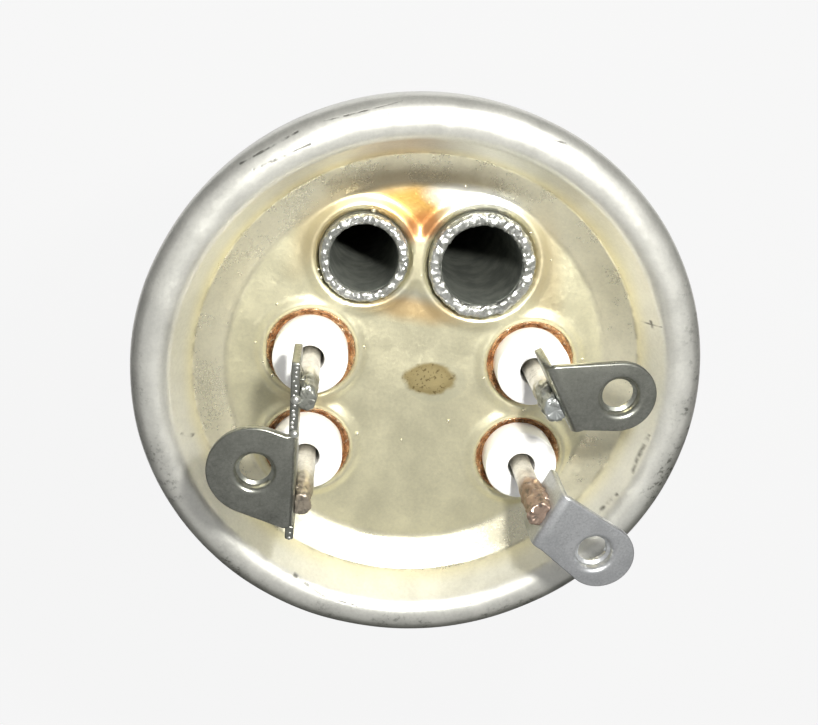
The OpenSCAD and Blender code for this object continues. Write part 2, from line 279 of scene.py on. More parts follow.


# %% [markdown]
# ## The flange's steel
# One pressed sheet shows three finishes: a satin bead, a glossier step and a straw-coloured, finely pitted
# floor.
# The distance from the flange axis picks the zone, so the change follows the pressing and not the picture.
# Over that come the heat colours round the welds, the burnt spot over the anode boss, dirt and scratches, and
# painted shade, shadow and reflection on the recess, the crease and the lower outer bead.

# %% Flange steel: zones
FLOOR_R = 22.2 * MM
CREASE_R = 25.7 * MM
CREST_R = 29.6 * MM
flange_steel, tree, shader, place = new_material("flange_steel")
radius = vector_calc(tree, "LENGTH", vector_calc(tree, "MULTIPLY", place, (1, 1, 0)), out=1)
skin = place_group(tree, sheet_group, {"Place": place, "Size": 1.0}, "Shade")
on_step = ramp(tree, radius, FLOOR_R - 0.6 * MM, FLOOR_R + 0.4 * MM)
on_bead = ramp(tree, radius, CREASE_R - 0.2 * MM, CREASE_R + 1.2 * MM)
steel_color = paint(tree, on_step, rgb(0.74, 0.70, 0.49), rgb(0.80, 0.76, 0.58))
steel_color = paint(tree, on_bead, steel_color, rgb(0.74, 0.735, 0.68))
shade = ramp(tree, skin, 0.36, 0.62, 0.9, 1.06, smooth=False)
shade_grey = node(tree, "ShaderNodeCombineColor", {0: shade, 1: shade, 2: shade}).outputs[0]
steel_color = paint(tree, 1.0, steel_color, shade_grey, "MULTIPLY")

# %% Flange steel: heat colours, painted shade, painted shadow and painted reflection
# Centre, reach and turn of each mark in mm and degrees, then softness, raggedness, strength and colour
HEAT_TINTS_AND_PAINTED_LIGHT = [
    # The first mark, a dark brown band along the top of the step, is painted shade with heat tint.
    ((-1.0, 21.8), (9.5, 2.4), 2, 0.45, 0.5, 0.70, rgb(0.16, 0.115, 0.055)),
    ((-11.9, 16.6), (2.2, 5.0), -28, 0.6, 0.6, 0.45, rgb(0.62, 0.46, 0.20)),
    ((-2.6, 19.6), (3.6, 1.9), 0, 0.5, 0.6, 0.85, rgb(0.60, 0.34, 0.07)),
    ((-0.9, 17.3), (2.3, 1.5), 30, 0.45, 0.6, 0.90, rgb(0.40, 0.15, 0.035)),
    # This pale mark beside the large well is a painted reflection.
    ((4.9, 20.6), (4.9, 1.5), -4, 0.35, 0.4, 0.75, rgb(0.80, 0.80, 0.74)),
    ((13.6, 13.2), (1.9, 6.2), 12, 0.6, 0.5, 0.45, rgb(0.58, 0.44, 0.22)),
    ((-1.7, 9.2), (3.4, 1.0), -8, 0.6, 0.5, 0.45, rgb(0.36, 0.36, 0.34)),
    ((-1.0, 7.6), (5.2, 1.3), -6, 0.65, 0.6, 0.60, rgb(0.66, 0.40, 0.13)),
    ((-1.3, 13.2), (0.8, 3.2), 0, 0.6, 0.4, 0.30, rgb(0.52, 0.46, 0.28)),
    # This brown mark between the two left legs is a painted shadow of the bridge.
    ((-12.6, -4.2), (3.2, 1.6), 0, 0.7, 0.8, 0.45, rgb(0.40, 0.30, 0.13)),
]
for centre, reach, turned_by, soft, ragged, strength, color in HEAT_TINTS_AND_PAINTED_LIGHT:
    wires = {"Place": place, "Centre": (centre[0] * MM, centre[1] * MM, 0),
             "Reach": (reach[0] * MM, reach[1] * MM, 1),
             "Turn": math.radians(-turned_by), "Soft": soft, "Ragged": ragged, "Grain": 260.0}
    steel_color = stain(tree, place_group(tree, patch_group, wires, "Mask"), strength, steel_color, color)

# %% Flange steel: the burnt spot over the anode boss
SPOT = (1.6 * MM, -0.8 * MM, 0)
spot_wires = {"Place": place, "Centre": SPOT, "Reach": (3.0 * MM, 2.0 * MM, 1), "Soft": 0.14, "Ragged": 0.35,
              "Grain": 900.0}
burnt = place_group(tree, patch_group, spot_wires, "Mask")
spot_wires.update({"Reach": (2.1 * MM, 1.35 * MM, 1), "Soft": 0.35, "Ragged": 0.8})
burnt_core = place_group(tree, patch_group, spot_wires, "Mask")
spot_wires.update({"Centre": (2.3 * MM, -1.2 * MM, 0), "Reach": (3.7 * MM, 2.5 * MM, 1), "Soft": 0.08,
                   "Ragged": 0.1})
halo = place_group(tree, patch_group, spot_wires, "Mask")
steel_color = stain(tree, halo, 0.45, steel_color, rgb(0.60, 0.58, 0.42))
steel_color = stain(tree, burnt, 0.85, steel_color, rgb(0.36, 0.27, 0.10))
steel_color = stain(tree, burnt_core, 0.75, steel_color, rgb(0.56, 0.46, 0.23))
pits = calc(tree, "MULTIPLY", burnt, ramp(tree, grain(tree, place, 2400.0, 2.0), 0.56, 0.66))
steel_color = stain(tree, pits, 0.7, steel_color, rgb(0.14, 0.10, 0.04))

# %% Flange steel: dirt, painted shade and painted reflection, scratches and nicks
outside = ramp(tree, radius, CREST_R - 1.6 * MM, CREST_R + 1.2 * MM)
parts = node(tree, "ShaderNodeSeparateXYZ", {0: place}).outputs
downward = calc(tree, "SUBTRACT", calc(tree, "MULTIPLY", parts["X"], 0.25), parts["Y"])
low_side = ramp(tree, downward, -16 * MM, 16 * MM)
dirty = calc(tree, "MULTIPLY", outside, calc(tree, "MULTIPLY_ADD", low_side, 0.95, 0.12))
grime = place_group(tree, grime_group, {"Place": place, "Amount": 1.0, "Cloud": 230.0, "Speck": 1700.0},
                    "Mask")
steel_color = stain(tree, grime, dirty, steel_color, rgb(0.10, 0.10, 0.085))
# A painted dark reflection on the lower outer bead, where it mirrors a dim room.
lower_outer_painted_reflection = calc(
    tree, "MULTIPLY", ramp(tree, radius, CREST_R - 0.6 * MM, CREST_R + 1.6 * MM),
    ramp(tree, downward, 2 * MM, 26 * MM),
)
steel_color = stain(tree, lower_outer_painted_reflection, 0.5, steel_color, rgb(0.30, 0.305, 0.25))
FLANGE_MARKS = [
    ((-12.2, 28.6), (-4.5, 31.1), 0.10), ((-20.3, 23.8), (-14.7, 27.4), 0.14),
    ((-18.9, 23.4), (-13.4, 26.3), 0.16), ((-5.9, 29.9), (-5.8, 29.0), 0.12),
    ((11.0, 28.5), (12.7, 28.2), 0.14), ((-26.4, -6.8), (-25.4, -7.7), 0.22),
    ((24.8, 8.8), (26.0, 9.2), 0.16), ((25.6, 8.5), (25.2, 9.4), 0.14),
    ((-13.1, -24.3), (-9.3, -26.9), 0.26), ((-9.3, -26.9), (-5.4, -28.0), 0.22),
    ((0.4, -28.4), (1.5, -28.1), 0.26), ((3.8, -27.9), (8.4, -27.2), 0.18),
    ((27.1, -4.1), (25.9, -9.0), 0.22), ((24.6, -12.0), (21.9, -16.3), 0.20),
]
steel_color, marks = wear_marks(tree, place, steel_color, FLANGE_MARKS)
# A painted shade line along the crease.
crease_line = calc(tree, "ABSOLUTE", calc(tree, "SUBTRACT", radius, CREASE_R))
crease_painted_shade = calc(tree, "MULTIPLY", ramp(tree, crease_line, 0.28 * MM, 0.0),
                   ramp(tree, grain(tree, place, 420.0), 0.4, 0.6))
steel_color = stain(tree, crease_painted_shade, 0.35, steel_color, rgb(0.22, 0.20, 0.14))

# %% Flange steel: gloss and pitting
gloss = ramp(tree, skin, 0.3, 0.7, 0.30, 0.42, smooth=False)
gloss = calc(tree, "SUBTRACT", gloss, calc(tree, "MULTIPLY", on_step, 0.08))
gloss = calc(tree, "ADD", gloss, calc(tree, "MULTIPLY", on_bead, 0.10))
gloss = calc(tree, "MULTIPLY_ADD", grime, 0.12, gloss)
pitted = calc(tree, "MULTIPLY", skin.node.outputs["Height"],
              calc(tree, "SUBTRACT", 1.0, calc(tree, "MULTIPLY", on_bead, 0.55)))
height = calc(tree, "SUBTRACT", pitted, calc(tree, "MULTIPLY", marks, 2.0))
finish_shader(tree, shader, steel_color, gloss, 0.8, height, 0.00001)
print("flange steel nodes:", len(tree.nodes))


# %% [markdown]
# ## Plain metals of the small parts
# The wells, sheaths, pins and terminals are thin-walled steel too, each with its own tone.
# One function builds such a metal from its tone, its gloss and how dirty it is, on top of the shared groups.


# %% Small metals
def plain_metal(name, tone, dark_tone, rough=0.35, metal=0.85, size=1.5, dirt=0.4, depth=0.000008):
    material, tree, shader, place = new_material(name)
    skin = place_group(tree, sheet_group, {"Place": place, "Size": size}, "Shade")
    color = paint(tree, ramp(tree, skin, 0.35, 0.65), dark_tone, tone)
    grime = place_group(tree, grime_group, {"Place": place, "Amount": dirt, "Cloud": 420.0, "Speck": 2600.0},
                        "Mask")
    color = paint(tree, grime, color, rgb(*(0.3 * c for c in dark_tone[:3])))
    gloss = calc(tree, "MULTIPLY_ADD", grime, 0.25,
                 ramp(tree, skin, 0.3, 0.7, rough + 0.07, rough - 0.05, smooth=False))
    finish_shader(tree, shader, color, gloss, metal, skin.node.outputs["Height"], depth)
    return material, tree, shader, place, color


# The dark terminal tone is a painted dark reflection of the dim room that the flags mirror.
terminal_painted_dark_reflection = plain_metal("terminal_satin_painted_dark_reflection", rgb(0.30, 0.305, 0.27), rgb(0.20, 0.205, 0.18), 0.30, 0.9,
                            1.2, 0.35)[0]
terminal_pale = plain_metal("terminal_pale_satin", rgb(0.60, 0.61, 0.62), rgb(0.42, 0.43, 0.44), 0.36, 0.85,
                            1.6, 0.3)[0]
boss_steel = plain_metal("boss_steel", rgb(0.62, 0.61, 0.57), rgb(0.48, 0.47, 0.43), 0.34)[0]
weld_silver = plain_metal("weld_silver", rgb(0.74, 0.74, 0.70), rgb(0.40, 0.41, 0.38), 0.28, 0.9, 1.0, 0.8,
                          0.00003)[0]
spatter_steel = plain_metal("spatter_steel", rgb(0.86, 0.83, 0.68), rgb(0.70, 0.66, 0.48), 0.2, 0.8, 2.0,
                            0.1)[0]
print("small metals ready")

# %% [markdown]
# ## The wells
# A well is a closed tube for a thermostat's feeler. Outside it is bright drawn steel; inside it is dull, and
# its colour there is darkened as painted shade.
# The inside is told from the outside by the distance from the tube's own axis, which the frame's boxes give.


# %% Well steel
def well_material(name, part, wall):
    low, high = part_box(part)
    axis = (low + high) / 2
    material, tree, shader, place, color = plain_metal(name, rgb(0.66, 0.665, 0.63), rgb(0.50, 0.505, 0.47),
                                                       0.33)
    off_axis = vector_calc(tree, "SUBTRACT", place, (axis.x, axis.y, 0))
    away = vector_calc(tree, "LENGTH", vector_calc(tree, "MULTIPLY", off_axis, (1, 1, 0)), out=1)
    bore = (high.x - low.x) / 2 - wall * MM
    inside = ramp(tree, away, bore + 0.4 * MM, bore + 0.2 * MM)
    # The dark colour inside the bore is painted shade.
    inside_painted_shade = paint(tree, ramp(tree, grain(tree, place, 500.0), 0.3, 0.7), rgb(0.10, 0.108, 0.095),
                 rgb(0.17, 0.18, 0.155))
    color = paint(tree, inside, color, inside_painted_shade)
    tree.links.new(color, shader.inputs["Base Color"])
    old_gloss = shader.inputs["Roughness"].links[0].from_socket
    tree.links.new(calc(tree, "MULTIPLY_ADD", inside, 0.22, old_gloss), shader.inputs["Roughness"])
    metal = calc(tree, "SUBTRACT", 0.85, calc(tree, "MULTIPLY", inside, 0.6))
    tree.links.new(metal, shader.inputs["Metallic"])
    return material


SMALL_WALL, LARGE_WALL = 1.15, 1.4
well_finish = {
    "small_well": well_material("small_well_steel", "small_well", SMALL_WALL),
    "large_well": well_material("large_well_steel", "large_well", LARGE_WALL),
}
print("well finishes:", list(well_finish))

# %% [markdown]
# ## Sheath, coil, filling and seal
# The loops' sheaths are annealed steel with a faint straw and blue bloom that changes along the length.
# Inside them sit parts nobody sees until the loop is cut: the wound wire, the pressed magnesia and the seals.
# They are finished all the same, because a cut view should not show bare grey.

# %% Sheath steel
sheath_steel, tree, shader, place, color = plain_metal("sheath_steel", rgb(0.56, 0.55, 0.51),
                                                       rgb(0.40, 0.39, 0.36), 0.32, 0.9, 1.0, 0.3)
drawn = node(tree, "ShaderNodeMapping", {"Vector": place, "Scale": (1.0, 1.0, 0.06)}).outputs[0]
lines = grain(tree, drawn, 1800.0, 2.0)
color = paint(tree, ramp(tree, lines, 0.45, 0.7, 0.0, 0.35), color, rgb(0.30, 0.29, 0.27))
bloom = grain(tree, place, 28.0, 2.0)
color = paint(tree, ramp(tree, bloom, 0.5, 0.68, 0.0, 0.45), color, rgb(0.50, 0.38, 0.20))
color = paint(tree, ramp(tree, bloom, 0.46, 0.34, 0.0, 0.35), color, rgb(0.25, 0.28, 0.36))
tree.links.new(color, shader.inputs["Base Color"])

# %% Wound wire, magnesia and seal
coil_wire, tree, shader, place, color = plain_metal("coil_wire", rgb(0.30, 0.27, 0.25),
                                                    rgb(0.18, 0.165, 0.155), 0.45, 0.8)
turns = node(tree, "ShaderNodeTexWave", {"Vector": place, "Scale": 500.0, "Distortion": 0.0},
             bands_direction="Z").outputs[1]
finish_shader(tree, shader, paint(tree, turns, rgb(0.07, 0.06, 0.055), color), 0.45, 0.8, turns, 0.0003)

magnesia, tree, shader, place = new_material("pressed_magnesia")
powder = grain(tree, place, 3000.0, 5.0)
finish_shader(tree, shader, paint(tree, powder, rgb(0.70, 0.68, 0.63), rgb(0.90, 0.89, 0.86)), 0.95, 0.0,
              powder, 0.00006)

seal_rubber, tree, shader, place = new_material("silicone_seal")
cloud = grain(tree, place, 900.0, 3.0)
finish_shader(tree, shader, paint(tree, cloud, rgb(0.32, 0.10, 0.055), rgb(0.44, 0.16, 0.09)), 0.6, 0.0,
              cloud, 0.00003)

# %% [markdown]
# ## Copper braze and white bushes
# Braze has run down into the funnel round each leg: brown copper with dark flux specks and raised drops,
# whose pale colour is a painted highlight.
# The bushes are fired ceramic, chalk white with the faintest cream cloud, a little glossy where they were
# glazed.

# %% Braze
braze_copper, tree, shader, place = new_material("braze_copper")
cloud = grain(tree, place, 700.0, 4.0, 0.6)
specks = grain(tree, place, 2600.0, 4.0, 0.7)
color = paint(tree, ramp(tree, cloud, 0.35, 0.65), rgb(0.36, 0.17, 0.075), rgb(0.66, 0.42, 0.22))
color = paint(tree, ramp(tree, specks, 0.54, 0.66, 0.0, 0.8), color, rgb(0.13, 0.065, 0.035))
# The drops are raised, and their pale colour is a painted highlight.
drops_and_painted_glints = ramp(tree, grain(tree, place, 1500.0, 1.0), 0.62, 0.7)
color = stain(tree, drops_and_painted_glints, 0.6, color, rgb(0.85, 0.74, 0.55))
rough = ramp(tree, specks, 0.35, 0.65, 0.20, 0.42, smooth=False)
height = calc(tree, "ADD", calc(tree, "MULTIPLY", specks, 0.6), drops_and_painted_glints)
finish_shader(tree, shader, color, rough, 0.75, height, 0.00006)

# %% Bush ceramic
bush_ceramic, tree, shader, place = new_material("bush_ceramic")
cloud = grain(tree, place, 350.0, 3.0)
dust = ramp(tree, grain(tree, place, 3800.0, 2.0), 0.70, 0.76)
color = paint(tree, cloud, rgb(0.86, 0.855, 0.85), rgb(0.90, 0.895, 0.87))
color = stain(tree, dust, 0.35, color, rgb(0.55, 0.48, 0.38))
shader.inputs["Specular IOR Level"].default_value = 0.4
finish_shader(tree, shader, color, ramp(tree, cloud, 0.3, 0.7, 0.38, 0.5, smooth=False), 0.0, cloud, 0.00003)

# %% [markdown]
# ## The pins
# Each pin is drawn steel that was pinched and heated where its terminal was spot-welded on.
# The colour goes from pale drawn steel at the bush to a brown and blue-grey burn at the weld.


# %% Pin steel
def pin_material(name, burnt_tone, start, end, strength):
    material, tree, shader, place, color = plain_metal(name, rgb(0.66, 0.63, 0.54), rgb(0.50, 0.47, 0.40),
                                                       0.34, 0.8, 1.4, 0.5)
    rise = node(tree, "ShaderNodeSeparateXYZ", {0: place}).outputs["Z"]
    uneven = calc(tree, "MULTIPLY_ADD", calc(tree, "SUBTRACT", grain(tree, place, 600.0), 0.5), 5 * MM, rise)
    heat = ramp(tree, uneven, start * MM, end * MM, 0.0, strength)
    soot = ramp(tree, grain(tree, place, 1300.0, 4.0), 0.5, 0.66)
    color = paint(tree, heat, color, burnt_tone)
    color = paint(tree, calc(tree, "MULTIPLY", heat, calc(tree, "MULTIPLY", soot, 0.7)), color,
                  rgb(0.10, 0.095, 0.085))
    tree.links.new(color, shader.inputs["Base Color"])
    return material


pin_finish = {
    "pin_upper_left": pin_material("pin_steel_upper_left", rgb(0.26, 0.27, 0.24), 6.5, 9.5, 0.9),
    "pin_lower_left": pin_material("pin_steel_lower_left", rgb(0.34, 0.28, 0.21), 6.0, 10.0, 0.8),
    "pin_upper_right": pin_material("pin_steel_upper_right", rgb(0.34, 0.37, 0.38), 5.5, 9.0, 0.8),
    "pin_lower_right": pin_material("pin_steel_lower_right", rgb(0.36, 0.25, 0.19), 3.5, 7.0, 0.9),
}
print("pin finishes:", len(pin_finish))

# %% Give every carried-over part its finish
PART_FINISH = {
    "long_sheath": sheath_steel, "short_sheath": sheath_steel, "long_coil": coil_wire,
    "short_coil": coil_wire,
    "long_filling": magnesia, "short_filling": magnesia, "anode_boss": boss_steel, **well_finish,
    "flange_plate": flange_steel, "small_well_weld": weld_silver, "large_well_weld": weld_silver,
    "bridge_terminal": terminal_painted_dark_reflection, "tab_upper_right": terminal_painted_dark_reflection, "tab_lower_right": terminal_pale,
    **pin_finish,
}
for part, kind in (("braze", braze_copper), ("bush", bush_ceramic), ("seal", seal_rubber)):
    PART_FINISH.update({name: kind for name in nodes if name.startswith(part + "_")})
for name, finish in PART_FINISH.items():
    nodes[name].data.materials.clear()
    nodes[name].data.materials.append(finish)
print("parts with a finish:", len(PART_FINISH), "of", len(nodes))

# %% [markdown]
# ## Helpers that turn and round metal
# Most of this object is turned or pressed round, so a half section spun about an axis makes it.
# The section is a short list of corners, each with its own rounding, and the helper draws the arcs.
# Straight corners would catch no light, which is why even small parts get a rounded edge.


# %% Section and spin helpers
def rounded(corners, closed=True, fine=0.3):
    """Corners (r, z, rounding) in mm become a run of points with arcs in place of the corners."""
    points = []
    count = len(corners)
    for i, (r, z, bend) in enumerate(corners):
        here = Vector((r, z))
        if bend == 0 or (not closed and i in (0, count - 1)):
            points.append(here)
            continue
        before = Vector(corners[i - 1][:2]) - here
        after = Vector(corners[(i + 1) % count][:2]) - here
        half = before.angle(after) / 2
        reach = bend / math.tan(half)
        middle = here + (before.normalized() + after.normalized()).normalized() * bend / math.sin(half)
        start, end = here + before.normalized() * reach - middle, here + after.normalized() * reach - middle
        sweep = start.angle_signed(end)
        steps = max(2, math.ceil(bend * abs(sweep) / fine), math.ceil(abs(sweep) / 0.3))
        for k in range(steps + 1):
            points.append(middle + Matrix.Rotation(-sweep * k / steps, 2) @ start)
    return points


def spin_section(points, centre=(0, 0), steps=96, closed=True):
    """A bmesh of the half section spun round the vertical line through centre (mm)."""
    bm = bmesh.new()
    run = [bm.verts.new((p.x * MM, 0, p.y * MM)) for p in points]
    edges = [bm.edges.new(pair) for pair in zip(run, run[1:])]
    if closed:
        edges.append(bm.edges.new((run[-1], run[0])))
    bmesh.ops.spin(bm, geom=run + edges, axis=(0, 0, 1), cent=(0, 0, 0), angle=2 * math.pi, steps=steps,
                   use_merge=True)
    bmesh.ops.remove_doubles(bm, verts=bm.verts, dist=2e-7)
    bmesh.ops.recalc_face_normals(bm, faces=bm.faces)
    bmesh.ops.translate(bm, verts=bm.verts, vec=(centre[0] * MM, centre[1] * MM, 0))
    return bm


def mesh_from(bm, name):
    mesh = bpy.data.meshes.new(name)
    bm.to_mesh(mesh)
    bm.free()
    return mesh


def link(name, data):
    made = bpy.data.objects.new(name, data)
    bpy.context.scene.collection.objects.link(made)
    return made


def make_piece(bm, name, finish, replaces=(), sharp=40):
    """The bmesh becomes a finished piece that rides on the one body."""
    mesh = mesh_from(bm, name)
    mesh.materials.append(finish)
    mesh.shade_smooth()
    mesh.set_sharp_from_angle(angle=math.radians(sharp))
    piece = link(name, mesh)
    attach(piece, "root")
    if replaces:
        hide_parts(*replaces)
    print(name, "faces:", len(mesh.polygons))


def share_of(value):
    """The value held between 0 and 1."""
    return min(1.0, max(0.0, value))


def ruffle(bm, amount, scale, picked=None, seed=0.0, along=None):
    """Moves vertices along their normals by smooth noise: amount in mm, scale per mm."""
    bm.normal_update()
    shift = Vector((seed, seed * 1.7, -seed))
    moves = []
    for v in bm.verts:
        weight = 1.0 if picked is None else picked(v.co / MM)
        if weight > 0:
            push = noise.noise(v.co / MM * scale + shift) * amount * weight * MM
            moves.append((v, (along or v.normal) * push))
    for v, move in moves:
        v.co += move


# %% [markdown]
# ## The pressed flange
# The sheet starts as a flat disc and a press gives it a rolled bead, a conical step and raised lips round
# six holes.
# The bead is turned from its section. The recess is not round once the lips run into each other, so it is
# a fine
# grid whose height is a formula, given its thickness and cut with round punches, as the press tool would.

# %% Sizes of the pressing
RIM_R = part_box("flange_plate")[1].x / MM
FLOOR_Z = -2.4
SHEET_T = 1.0
STEP_RISE = 0.6
SEAM_R = 24.0
CREASE = (CREASE_R / MM, -0.3)
WALL_DIR = Vector((1.71, 3.79)).normalized()


def centre_of(part):
    low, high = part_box(part)
    return ((low.x + high.x) / 2 / MM, (low.y + high.y) / 2 / MM)


LEGS = {side: centre_of("bush_" + side) for side in ("upper_left", "upper_right", "lower_left",
                                                     "lower_right")}
WELLS = {"small": centre_of("small_well"), "large": centre_of("large_well")}
HOLES = [(at, 5.15, 5.55) for at in LEGS.values()]
HOLES += [(WELLS["small"], 5.35, 5.75), (WELLS["large"], 6.35, 6.8)]
print("rim radius:", round(RIM_R, 2), "mm; holes:", len(HOLES))


# %% Height of the recess
def soft_max(a, b, k):
    h = min(1.0, max(0.0, 0.5 + 0.5 * (a - b) / k))
    return b + (a - b) * h + k * h * (1 - h)


def recess_height(x, y):
    base = soft_max(FLOOR_Z, FLOOR_Z + (math.hypot(x, y) - FLOOR_R / MM) * STEP_RISE, 0.22)
    rise = 0.0
    for (cx, cy), hole_r, lip_r in HOLES:
        off = math.hypot(x - cx, y - cy) - lip_r
        rise += math.exp(-((off / (0.42 if off < 0 else 0.95)) ** 2))
    lip = FLOOR_Z - 0.1 + 0.62 * min(rise, 1.08)
    wave = 0.04 * noise.noise(Vector((x * 0.22, y * 0.22, 3.1)))
    return soft_max(base, lip, 0.1) + wave


# %% Recess: grid, thickness, punches
GRID_STEP = 0.26
half = SEAM_R + 0.4
cells = round(2 * half / GRID_STEP)
bm = bmesh.new()
bmesh.ops.create_grid(bm, x_segments=cells, y_segments=cells, size=half * MM)


def spare(v):
    """True for a grid point well outside the recess or well inside a hole."""
    if v.co.length > (SEAM_R + 0.5) * MM:
        return True
    return any((v.co - Vector((*at, 0)) * MM).length < (hole_r - 0.5) * MM for at, hole_r, lip_r in HOLES)


bmesh.ops.delete(bm, geom=[v for v in bm.verts if spare(v)], context="VERTS")
for v in bm.verts:
    v.co.z = recess_height(v.co.x / MM, v.co.y / MM) * MM
slab = bmesh.ops.extrude_face_region(bm, geom=list(bm.faces))
bmesh.ops.translate(bm, verts=[g for g in slab["geom"] if isinstance(g, bmesh.types.BMVert)],
                    vec=(0, 0, -SHEET_T * MM))
bmesh.ops.recalc_face_normals(bm, faces=bm.faces)
recess = link("pressed_recess", mesh_from(bm, "pressed_recess"))

punches = bmesh.new()
for (cx, cy), hole_r, lip_r in HOLES:
    punch = bmesh.ops.create_cone(
        punches, cap_ends=True, segments=96, radius1=hole_r * MM, radius2=hole_r * MM, depth=8 * MM)
    bmesh.ops.translate(punches, verts=punch["verts"], vec=(cx * MM, cy * MM, -2 * MM))
ring = spin_section([Vector(p) for p in ((SEAM_R, -6), (SEAM_R + 3, -6), (SEAM_R + 3, 4), (SEAM_R, 4))],
                    steps=256)
punches.from_mesh(mesh_from(ring, "ring_punch"))
punch_tool = link("punches", mesh_from(punches, "punches"))
cut = recess.modifiers.new("punched", "BOOLEAN")
cut.object, cut.operation, cut.solver = punch_tool, "DIFFERENCE", "EXACT"
bpy.context.view_layer.update()
cut_mesh = bpy.data.meshes.new_from_object(recess.evaluated_get(bpy.context.evaluated_depsgraph_get()))
bpy.data.objects.remove(recess)
bpy.data.objects.remove(punch_tool)
print("recess faces:", len(cut_mesh.polygons))

# %% Bead, hole necks and the whole flange
corner_z = CREASE[1] + (RIM_R - CREASE[0]) * WALL_DIR.y / WALL_DIR.x
inner_x = RIM_R - SHEET_T
seam_top = FLOOR_Z + (SEAM_R - FLOOR_R / MM) * STEP_RISE
crease_in = (CREASE[0] + 0.53, CREASE[1] - 1.05)
inner_corner = crease_in[1] + (inner_x - crease_in[0]) * WALL_DIR.y / WALL_DIR.x
bead_section = rounded([
    (SEAM_R, seam_top, 0), (*CREASE, 0.9), (RIM_R, corner_z, 2.4), (RIM_R, 0, 0.35), (inner_x, 0, 0.3),
    (inner_x, inner_corner, 1.4), (*crease_in, 0.5), (SEAM_R, seam_top - SHEET_T, 0),
])
bm = spin_section(bead_section, steps=288)
ruffle(bm, 0.05, 0.16, lambda p: share_of((math.hypot(p.x, p.y) - 25.2) / 2.0) * share_of(p.z), 2.0)
for (cx, cy), hole_r, lip_r in HOLES:
    well = hole_r > 5.2
    bore = hole_r - 0.3 if well else 4.05
    outer = bore + (0.8 if well else 1.0)
    neck = [(bore, -4.6, 0.15), (outer, -4.6, 0.3), (outer, -3.1, 0)]
    neck += [(hole_r + 0.3, -2.9, 0), (hole_r + 0.02, FLOOR_Z, 0)]
    neck += [(bore, -3.0, 0.2)] if well else [(bore, -3.9, 0.5)]
    bm.from_mesh(mesh_from(spin_section(rounded(neck), (cx, cy), 96), "neck"))
bm.from_mesh(cut_mesh)
make_piece(bm, "pressed_flange", flange_steel, ["flange_plate"], sharp=50)

# %% [markdown]
# ## Weld beads round the well mouths
# Each well was fused to the flange along its mouth, and the melt froze as a lumpy silver ring.
# A turned ring gives the right place and size, and noise moved along the surface gives the lumps.


# %% Weld rings
def weld_ring(name, part, lumps, seed):
    low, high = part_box(part)
    outer = (high.x - low.x) / 2 / MM
    top = high.z / MM
    base = low.z / MM
    thick = (top - base) * 2
    centre = centre_of(part)
    section = rounded([
        (outer - thick, base - 0.25, 0.1), (outer, base - 0.25, 0.1), (outer, top, 0.45),
        (outer - thick, top, 0.5),
    ], fine=0.12)
    bm = spin_section(section, centre, 220)
    for amount, scale, start in ((lumps, 1.6, seed), (lumps * 0.5, 4.2, seed + 3)):
        ruffle(bm, amount, scale, lambda p: share_of((p.z - base) / 0.4), start)
    for v in bm.verts:
        v.co.z = min(v.co.z, (top + 0.1) * MM)
    make_piece(bm, name, weld_silver, [part], sharp=70)


weld_ring("small_mouth_weld", "small_well_weld", 0.20, 1.3)
weld_ring("large_mouth_weld", "large_well_weld", 0.26, 5.9)

# %% [markdown]
# ## Braze rings
# The copper ran unevenly, so the turned cone gets waves and drops. It stays between the sheath and the lip.


# %% Braze
def braze_ring(side, seed):
    part = "braze_" + side
    low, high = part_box(part)
    outer = (high.x - low.x) / 2 / MM
    section = rounded([
        (4.02, -4.4, 0), (4.04, -4.45, 0), (4.4, -3.6, 0), (outer + 0.05, high.z / MM - 0.04, 0.05),
        (outer - 0.16, high.z / MM - 0.10, 0.12), (4.5, -2.95, 0.2), (4.02, -3.1, 0.1),
    ], fine=0.1)
    bm = spin_section(section, LEGS[side], 160)
    ruffle(bm, 0.12, 1.9, lambda p: 1.0 if p.z > -3.4 else 0.0, seed)
    make_piece(bm, "copper_" + side, braze_copper, [part], sharp=70)


for number, side in enumerate(LEGS):
    braze_ring(side, 2.0 + 3.1 * number)

# %% [markdown]
# ## Ceramic bushes
# A bush is fired from pressed powder: soft outer edge, slightly domed face, chamfered bore.
# The lower right one has a toothed bore, seen in the photograph as a ring of small ridges round the pin.


# %% Bushes
def bush(side, teeth=0):
    part = "bush_" + side
    low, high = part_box(part)
    head_r = (high.x - low.x) / 2 / MM
    top, foot = high.z / MM, low.z / MM
    bore_r, shank_r, shoulder = 1.6, 3.15, -2.9
    section = rounded([
        (bore_r, foot, 0.1), (shank_r, foot, 0.3), (shank_r, shoulder, 0), (head_r, shoulder, 0.15),
        (head_r, top - 0.04, 0.4), (head_r - 1.2, top, 1.5), (bore_r, top, 0.28),
    ], fine=0.12)
    bm = spin_section(section, (0, 0), 128)
    for v in bm.verts:
        away = math.hypot(v.co.x, v.co.y)
        if teeth and away < (bore_r + 0.05) * MM and v.co.z > -2.0 * MM:
            swing = 0.5 + 0.5 * math.cos(teeth * math.atan2(v.co.y, v.co.x))
            v.co.xy *= 1 + 0.13 * swing
    bmesh.ops.translate(bm, verts=bm.verts, vec=(LEGS[side][0] * MM, LEGS[side][1] * MM, 0))
    ruffle(bm, 0.03, 0.7, None, head_r + teeth)
    make_piece(bm, "ceramic_" + side, bush_ceramic, [part], sharp=55)


for side in LEGS:
    bush(side, teeth=22 if side == "lower_right" else 0)

# %% [markdown]
# ## The terminals
# A terminal is blanked from sheet, its screw hole is drawn down into a collar and threaded, then the leg
# is bent.
# The model is made in the same order: a flat blank, its thickness, rounded shear edges, the collar, then
# the bend.
# The blank's length runs up the leg and on along the flag; the bend turns the first part down.

